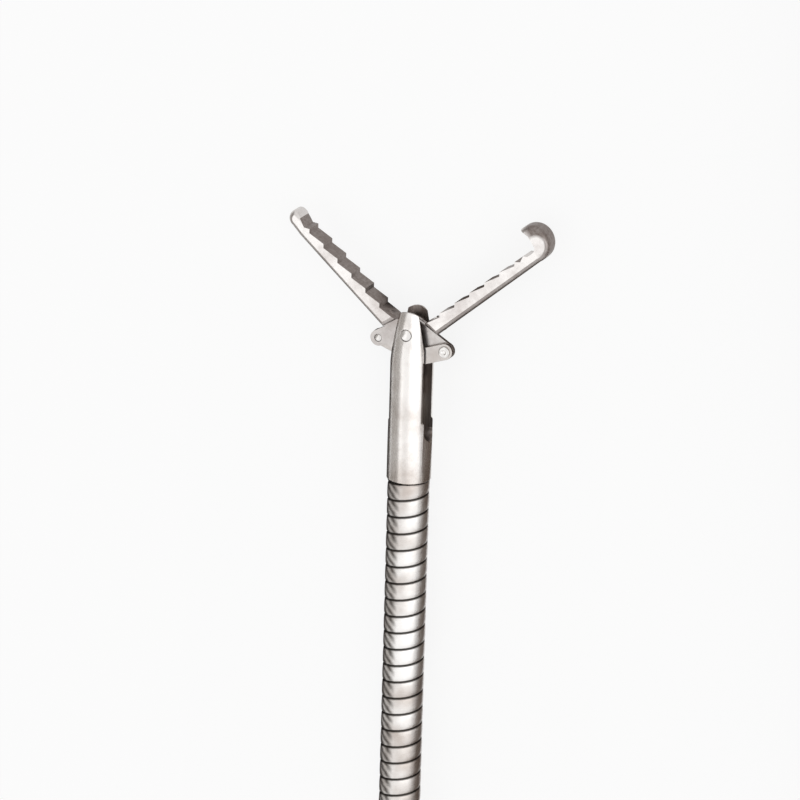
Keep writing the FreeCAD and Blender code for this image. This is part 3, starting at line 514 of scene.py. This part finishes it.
def jawCutAndShade(side, values):
    # the toothed face is matt from cutting and painted dark as a dark reflection; the back and the tail's
    # sides inside the fork get painted shade, the sides are polished
    lean = math.radians(values["open"])
    along = Vector((side * math.sin(lean), math.cos(lean), 0))
    inward = Vector((-side * math.cos(lean), math.sin(lean), 0))
    foot, tip = values["toothed"]

    def levelOf(polygon):
        reach = (polygon.center / mm - jawPivot).dot(along)
        if abs(polygon.normal.z) > values["flatSide"]:
            return 0.0 if reach > values["tailEnd"] else values["tailShade"]
        facing = polygon.normal.dot(inward)
        if facing > values["bite"]:
            return values["toothCutAndShade"] if foot < reach < tip else values["tipCut"]
        if side < 0 and reach > tip and facing > values["tipBite"]:
            return values["tipCut"]
        return values["backShade"][side]
    return levelOf


forkValues = {
    # painted shade inside the slot, whose faces are matt from milling
    "insideCutAndShade": 1.0,
    "noseCutAndShade": 0.75,      # the milled top of the cheeks, matt and painted darker as shade
    "noseFacing": 0.3,    # a normal this far forwards is the nose's
    "outFacing": 0.3,     # and one this far from the axis is the outside's
    "endFacing": -0.5,    # the end of the tube faces back
}


def forkCutAndShade(polygon):
    # painted shade inside the slot and over the milled nose, which are matt from milling, polished outside
    place = polygon.center / mm - jawPivot
    outwards = Vector((place.x, 0, place.z)).normalized()
    if polygon.normal.y > forkValues["noseFacing"] and place.y > 0:
        return forkValues["noseCutAndShade"]
    if polygon.normal.dot(outwards) < forkValues["outFacing"] and polygon.normal.y > forkValues["endFacing"]:
        return forkValues["insideCutAndShade"]
    return 0.0


linkValues = {
    "rimDarkness": 0.6,
    "faceDarkness": 0.38,
    "rimFacing": 0.35,    # a normal less upright than this is the rim's
    "blockShade": 0.9,
}


def linkDarkness(polygon):
    # the links' faces are made darker than polished steel, their rims darker still
    rim = abs(polygon.normal.z) < linkValues["rimFacing"]
    return linkValues["rimDarkness"] if rim else linkValues["faceDarkness"]


def blockShade(polygon):
    # painted shade: the block inside the fork is dark all over
    return linkValues["blockShade"]


cutAndShadeFaces = {
    "jaw_left": jawCutAndShade(-1, jawValues),
    "jaw_right": jawCutAndShade(1, jawValues),
    "link_left": linkDarkness,
    "link_right": linkDarkness,
    "fork": forkCutAndShade,
    "pull_block": blockShade,
}


def newTree(name, inputs):
    # an empty Geometry Nodes tree with named inputs
    tree = bpy.data.node_groups.new(name, "GeometryNodeTree")
    tree.interface.new_socket("Geometry", in_out="INPUT", socket_type="NodeSocketGeometry")
    tree.interface.new_socket("Geometry", in_out="OUTPUT", socket_type="NodeSocketGeometry")
    for label, kind in inputs:
        tree.interface.new_socket(label, in_out="INPUT", socket_type="NodeSocket" + kind)
    entry = tree.nodes.new("NodeGroupInput")
    return tree, entry


def endTree(tree, entry, grown):
    # instances made real, given the material, and joined to the piece
    real = addNode(tree, "GeometryNodeRealizeInstances", Geometry=grown)
    painted = addNode(tree, "GeometryNodeSetMaterial", Geometry=real.outputs[0],
                      Material=entry.outputs["Material"])
    joined = addNode(tree, "GeometryNodeJoinGeometry")
    tree.links.new(entry.outputs["Geometry"], joined.inputs[0])
    tree.links.new(painted.outputs[0], joined.inputs[0])
    leave = tree.nodes.new("NodeGroupOutput")
    tree.links.new(joined.outputs[0], leave.inputs[0])


def ridgeTree():
    # straight ridges round an axis along Y
    tree, entry = newTree("ridges", (("Count", "Int"), ("Radius", "Float"), ("Size", "Vector"),
                                     ("Middle", "Vector"), ("Material", "Material")))
    ring = addNode(tree, "GeometryNodeMeshCircle", Vertices=entry.outputs["Count"],
                   Radius=entry.outputs["Radius"])
    bar = addNode(tree, "GeometryNodeMeshCube", Size=entry.outputs["Size"])
    spot = tree.nodes.new("GeometryNodeInputPosition")
    turned = addNode(tree, "FunctionNodeAlignRotationToVector", {"axis": "X"}, Vector=spot.outputs[0])
    bars = addNode(tree, "GeometryNodeInstanceOnPoints", Points=ring.outputs["Mesh"],
                   Instance=bar.outputs["Mesh"], Rotation=turned.outputs[0])
    moved = addNode(tree, "GeometryNodeTransform", Geometry=bars.outputs[0],
                    Translation=entry.outputs["Middle"])
    moved.inputs["Rotation"].default_value = (math.pi / 2, 0, 0)
    endTree(tree, entry, moved.outputs[0])
    return tree


def ribTree():
    # rings along Y whose radius grows from the first to the last
    tree, entry = newTree("ribs", (("Count", "Int"), ("First", "Vector"), ("Step", "Vector"),
                                   ("First Radius", "Float"), ("Last Radius", "Float"),
                                   ("Thickness", "Float"), ("Material", "Material")))
    line = addNode(tree, "GeometryNodeMeshLine", {"mode": "OFFSET"}, Count=entry.outputs["Count"],
                   Start_Location=entry.outputs["First"], Offset=entry.outputs["Step"])
    loop = addNode(tree, "GeometryNodeCurvePrimitiveCircle", Resolution=64, Radius=1.0)
    section = addNode(tree, "GeometryNodeCurvePrimitiveCircle", Resolution=12,
                      Radius=entry.outputs["Thickness"])
    ring = addNode(tree, "GeometryNodeCurveToMesh", Curve=loop.outputs[0], Profile_Curve=section.outputs[0])
    number = tree.nodes.new("GeometryNodeInputIndex").outputs[0]
    last = maths(tree, "SUBTRACT", entry.outputs["Count"], 1)
    grown = ranged(tree, number, 0.0, last, entry.outputs["First Radius"], entry.outputs["Last Radius"])
    rings = addNode(tree, "GeometryNodeInstanceOnPoints", Points=line.outputs[0], Instance=ring.outputs[0],
                    Scale=grown)
    rings.inputs["Rotation"].default_value = (math.pi / 2, 0, 0)
    endTree(tree, entry, rings.outputs[0])
    return tree


nutValues = {
    "middle": (14.5, -85.95, 2.5),
    "ridges": 30,
    "ridgeRadius": 2.38,
    "ridge": (0.20, 0.26, 3.1),
    "outside": 2.15,      # what lies beyond this radius is narrowed, so that the ridges stand proud
    "narrowed": 0.955,    # to this share of its distance from the axis
}
guardValues = {
    "ribs": 8,
    "first": (14.5, -97.0, 2.5),
    "step": (0, 0.98, 0),
    "radius": (1.67, 2.09),  # of the first rib and the last
    "thickness": 0.09,    # of a rib, as a share of its radius
}

growths = {
    "clamp_nut": (ridgeTree(), {
        "Count": nutValues["ridges"],
        "Radius": nutValues["ridgeRadius"] * mm,
        "Size": metres(nutValues["ridge"]),
        "Middle": metres(nutValues["middle"]),
    }),
    "kink_guard": (ribTree(), {
        "Count": guardValues["ribs"],
        "First": metres(guardValues["first"]),
        "Step": metres(guardValues["step"]),
        "First Radius": guardValues["radius"][0] * mm,
        "Last Radius": guardValues["radius"][1] * mm,
        "Thickness": guardValues["thickness"],
    }),
}


def narrowNut(mesh, values):
    # drawn in towards the axis, which runs along Y
    axis = Vector(metres(values["middle"]))
    for vertex in mesh.vertices:
        side = vertex.co.x - axis.x
        rise = vertex.co.z - axis.z
        if math.hypot(side, rise) > values["outside"] * mm:
            vertex.co.x -= side * (1 - values["narrowed"])
            vertex.co.z -= rise * (1 - values["narrowed"])


edgeValues = {
    "merged": 0.0005,     # points nearer than this are one
    "flat": 0.6,          # degrees within which faces are one
    "sharp": 28,          # degrees from which an edge is broken, or kept sharp where it has no width
    "grownSharp": 35,     # the same once ridges or ribs are on the piece
    "segments": 2,
}


def grow(made, finish, tree, values):
    # the repeats are built by the tree and kept in the piece's one mesh
    repeats = made.modifiers.new("repeats", "NODES")
    repeats.node_group = tree
    labels = {item.name: item.identifier for item in tree.interface.items_tree if item.in_out == "INPUT"}
    for label, value in values.items():
        repeats[labels[label]] = value
    repeats[labels["Material"]] = finish
    made.update_tag()
    bpy.context.view_layer.update()
    graph = bpy.context.evaluated_depsgraph_get()
    mesh = bpy.data.meshes.new_from_object(made.evaluated_get(graph))
    made.modifiers.clear()
    form = bmesh.new()
    form.from_mesh(mesh)
    bmesh.ops.recalc_face_normals(form, faces=form.faces)
    form.to_mesh(mesh)
    form.free()
    made.data = mesh
    mesh.set_sharp_from_angle(angle=math.radians(edgeValues["grownSharp"]))


def dress(node, piece, finish, slot, edge):
    # a copy of the CAD piece with its doubles merged and its edges broken
    body = nodes[node]["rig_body"]
    mesh = nodes[node].data.copy()
    mesh.name = piece
    mesh.materials.clear()
    mesh.materials.append(finishes[finish])
    form = bmesh.new()
    form.from_mesh(mesh)
    bmesh.ops.remove_doubles(form, verts=form.verts, dist=edgeValues["merged"] * mm)
    bmesh.ops.dissolve_limit(form, angle_limit=math.radians(edgeValues["flat"]), verts=form.verts,
                             edges=form.edges)
    form.to_mesh(mesh)
    form.free()
    if node in cutAndShadeFaces:
        markCutAndShade(mesh, cutAndShadeFaces[node])
    if node == "clamp_nut":
        narrowNut(mesh, nutValues)
    made = bpy.data.objects.new(piece, mesh)
    bpy.context.scene.collection.objects.link(made)
    mesh.polygons.foreach_set("use_smooth", [True] * len(mesh.polygons))
    sharp = math.radians(edgeValues["sharp"])
    if edge:
        bevel = made.modifiers.new("edges", "BEVEL")
        bevel.width = edge * mm
        bevel.segments = edgeValues["segments"]
        bevel.limit_method = "ANGLE"
        bevel.angle_limit = sharp
        bevel.harden_normals = True
        bevel.miter_outer = "MITER_ARC"
        even = made.modifiers.new("flatFaces", "WEIGHTED_NORMAL")
        even.keep_sharp = True
    else:
        mesh.set_sharp_from_angle(angle=sharp)
    if node in growths:
        grow(made, finishes[finish], *growths[node])
    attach(made, body)
    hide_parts(node)


# node: (piece, finish, slot, width of the broken edge in mm)
dressing = {
    "fork": ("forkTube", "headSteel", "polished_steel", 0.02),
    "jaw_left": ("leftJaw", "jawSteel", "polished_steel", 0.06),
    "jaw_right": ("rightJaw", "hookSteelWithPaintedShade", "polished_steel", 0.06),
    "jaw_pivot_pin": ("jawPin", "pinSteel", "polished_steel", 0.01),
    "link_left": ("leftLink", "headSteel", "polished_steel", 0.025),
    "link_right": ("rightLink", "headSteel", "polished_steel", 0.025),
    "rivet_left": ("leftRivet", "pinSteel", "polished_steel", 0.03),
    "rivet_right": ("rightRivet", "pinSteel", "polished_steel", 0.03),
    "pull_block": ("pullBlock", "headSteel", "polished_steel", 0.03),
    "block_pin": ("blockPin", "pinSteel", "polished_steel", 0.03),
    "pull_wire_tip": ("cableTip", "cableSteel", "cable_steel", 0),
    "pull_wire_end": ("cableEnd", "cableSteel", "cable_steel", 0),
    "coil_tie": ("coilTie", "tieSilicone", "silicone", 0.12),
    "kink_guard": ("kinkGuard", "guardSilicone", "silicone", 0.1),
    "sheath_ferrule": ("sheathFerrule", "pinSteel", "handle_steel", 0.05),
    "clamp_nut": ("clampNut", "handleSteel", "handle_steel", 0.1),
    "handle_body": ("handleFrame", "handleSteel", "handle_steel", 0.3),
    "lever": ("thumbLever", "handleSteel", "handle_steel", 0.3),
    "lever_screw": ("leverScrew", "pinSteel", "handle_steel", 0.08),
    "rod_fork": ("rodFork", "pinSteel", "handle_steel", 0.08),
    "rod_pin": ("rodPin", "pinSteel", "handle_steel", 0.05),
    "pull_rod": ("pullRod", "pinSteel", "handle_steel", 0.05),
}
for node, row in dressing.items():
    dress(node, *row)
print("pieces dressed:", len(dressing))

stageValues = {
    "floorSize": 3.0,     # metres, as are the aim and the softboxes
    "floorColour": (0.92, 0.92, 0.92),
    "floorGlow": 0.84,    # how much of the floor's white is its own
    "worldLevel": 0.75,
    "aim": (-0.028, -0.045, 0.001),
    # name: place, size, and power in watts
    "softboxes": {
        "keySoftbox": ((0.27, -0.04, 0.32), (0.35, 0.5), 0.3),
        "fillSoftbox": ((-0.45, -0.3, 0.5), (0.5, 0.5), 0.2),
    },
    # name: colour, and corners in mm; two cards lie beside the head, one stands to its left
    "flags": {
        "rightFlag": ((0.16, 0.13, 0.11),
                      ((-26.6, -84, 0.03), (-17, -84, 0.03), (-17, -41, 0.03), (-26.6, -41, 0.03))),
        "leftFlag": ((0.06, 0.052, 0.048),
                     ((-42, -84, 0.03), (-29.2, -84, 0.03), (-29.2, -43, 0.03), (-42, -43, 0.03))),
        "standingFlag": ((0.50, 0.48, 0.46),
                         ((-170, -250, 0.05), (-170, 150, 0.05), (-170, 150, 200), (-170, -250, 200))),
    },
}


def whiteRays(tree):
    # the rays that see the white background: the camera's, and those in metal and glass
    rays = addNode(tree, "ShaderNodeLightPath").outputs
    shiny = maths(tree, "MAXIMUM", rays["Is Camera Ray"], rays["Is Glossy Ray"])
    return maths(tree, "MAXIMUM", shiny, rays["Is Transmission Ray"])


def setFloor(values):
    mesh = bpy.data.meshes.new("tableTop")
    half = values["floorSize"] / 2
    corners = [(-half, -half, 0), (half, -half, 0), (half, half, 0), (-half, half, 0)]
    mesh.from_pydata(corners, [], [(0, 1, 2, 3)])
    floor = bpy.data.objects.new("tableTop", mesh)
    bpy.context.scene.collection.objects.link(floor)
    finish, tree, shader = startFinish("tableTop")
    shader.inputs["Base Color"].default_value = (*values["floorColour"], 1)
    shader.inputs["Roughness"].default_value = 0.9
    glow = addNode(tree, "ShaderNodeEmission", Color=(1, 1, 1, 1), Strength=1.0)
    mix = addNode(tree, "ShaderNodeMixShader")
    tree.links.new(maths(tree, "MULTIPLY", whiteRays(tree), values["floorGlow"]), mix.inputs[0])
    tree.links.new(shader.outputs[0], mix.inputs[1])
    tree.links.new(glow.outputs[0], mix.inputs[2])
    tree.links.new(mix.outputs[0], tree.nodes["Material Output"].inputs["Surface"])
    mesh.materials.append(finish)


def setWorld(values):
    world = bpy.data.worlds.new("softRoom")
    bpy.context.scene.world = world
    world.use_nodes = True
    tree = world.node_tree
    room = tree.nodes["Background"]
    room.inputs["Color"].default_value = (1, 1, 1, 1)
    room.inputs["Strength"].default_value = values["worldLevel"]
    white = addNode(tree, "ShaderNodeBackground", Color=(1, 1, 1, 1), Strength=1.0)
    mix = addNode(tree, "ShaderNodeMixShader")
    tree.links.new(whiteRays(tree), mix.inputs[0])
    tree.links.new(room.outputs[0], mix.inputs[1])
    tree.links.new(white.outputs[0], mix.inputs[2])
    tree.links.new(mix.outputs[0], tree.nodes["World Output"].inputs["Surface"])


def addFlag(name, corners, colour):
    # a dark card that only the steel sees, for the dark lines beside its bright bands
    mesh = bpy.data.meshes.new(name)
    mesh.from_pydata([metres(corner) for corner in corners], [], [(0, 1, 2, 3)])
    card = bpy.data.objects.new(name, mesh)
    bpy.context.scene.collection.objects.link(card)
    finish, tree, shader = startFinish(name)
    shader.inputs["Base Color"].default_value = (*colour, 1)
    shader.inputs["Roughness"].default_value = 1.0
    shader.inputs["Specular IOR Level"].default_value = 0.0
    mesh.materials.append(finish)
    card.visible_camera = False
    card.visible_diffuse = False
    card.visible_shadow = False
    card.visible_transmission = False


def addSoftbox(name, place, aim, size, power):
    data = bpy.data.lights.new(name, "AREA")
    data.shape = "RECTANGLE"
    data.size, data.size_y = size
    data.energy = power
    lamp = bpy.data.objects.new(name, data)
    bpy.context.scene.collection.objects.link(lamp)
    lamp.location = place
    lamp.rotation_euler = (Vector(aim) - Vector(place)).to_track_quat("-Z", "Y").to_euler()


setFloor(stageValues)
setWorld(stageValues)
for name, (colour, corners) in stageValues["flags"].items():
    addFlag(name, corners, colour)
for name, (place, size, power) in stageValues["softboxes"].items():
    addSoftbox(name, place, stageValues["aim"], size, power)
bpy.context.scene.view_settings.view_transform = "Standard"
print("stage and light set")
